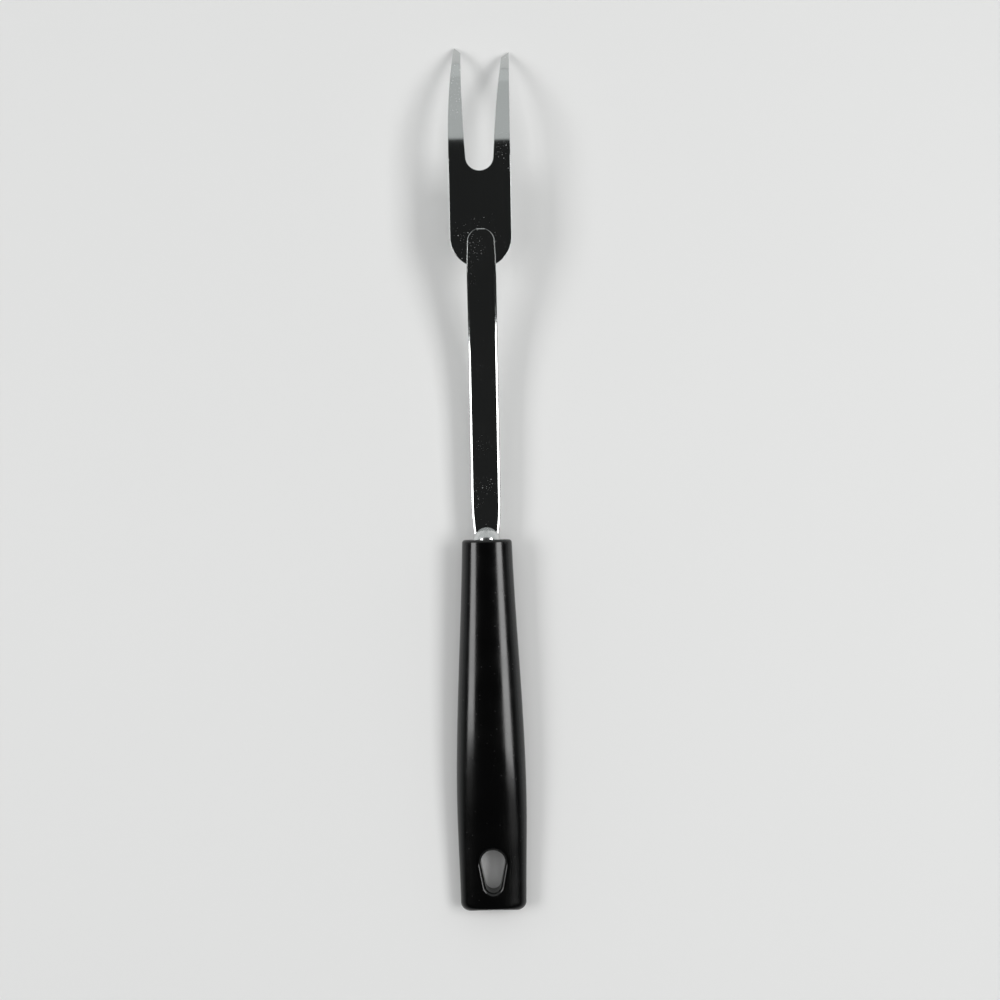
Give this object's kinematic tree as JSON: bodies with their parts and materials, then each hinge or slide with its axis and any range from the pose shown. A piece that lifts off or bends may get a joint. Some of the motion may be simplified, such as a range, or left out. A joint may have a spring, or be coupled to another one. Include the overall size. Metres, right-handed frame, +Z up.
{
  "type": "carving fork",
  "caption": "Long carving fork: curved steel head with two tines welded to a bent flat shank, with a domed bolster and a moulded black handle with a teardrop hang hole.",
  "frame": {"origin": "bottom centre of the bounding box, on the table under the middle of the fork's length, with the fork at rest on its tips and the underside of its handle", "axes": "+Y along the fork towards the tine tips, +X to the right seen from above, +Z up from the table"},
  "size_m": [0.0256, 0.32, 0.0228],
  "materials": {
    "polished_head": "mirror-polished stainless sheet with fine scratches",
    "polished_shank": "polished stainless strip with fine scratches and specks",
    "weld_steel": "fused steel, hidden",
    "bright_bolster": "bright polished metal",
    "black_handle": "glossy black moulded plastic, lightly worn"
  },
  "bodies": {
    "root": {"fork_head": "polished_head", "shank": "polished_shank", "spot_welds": "weld_steel", "bolster": "bright_bolster", "handle": "black_handle"}
  },
  "joints": []
}
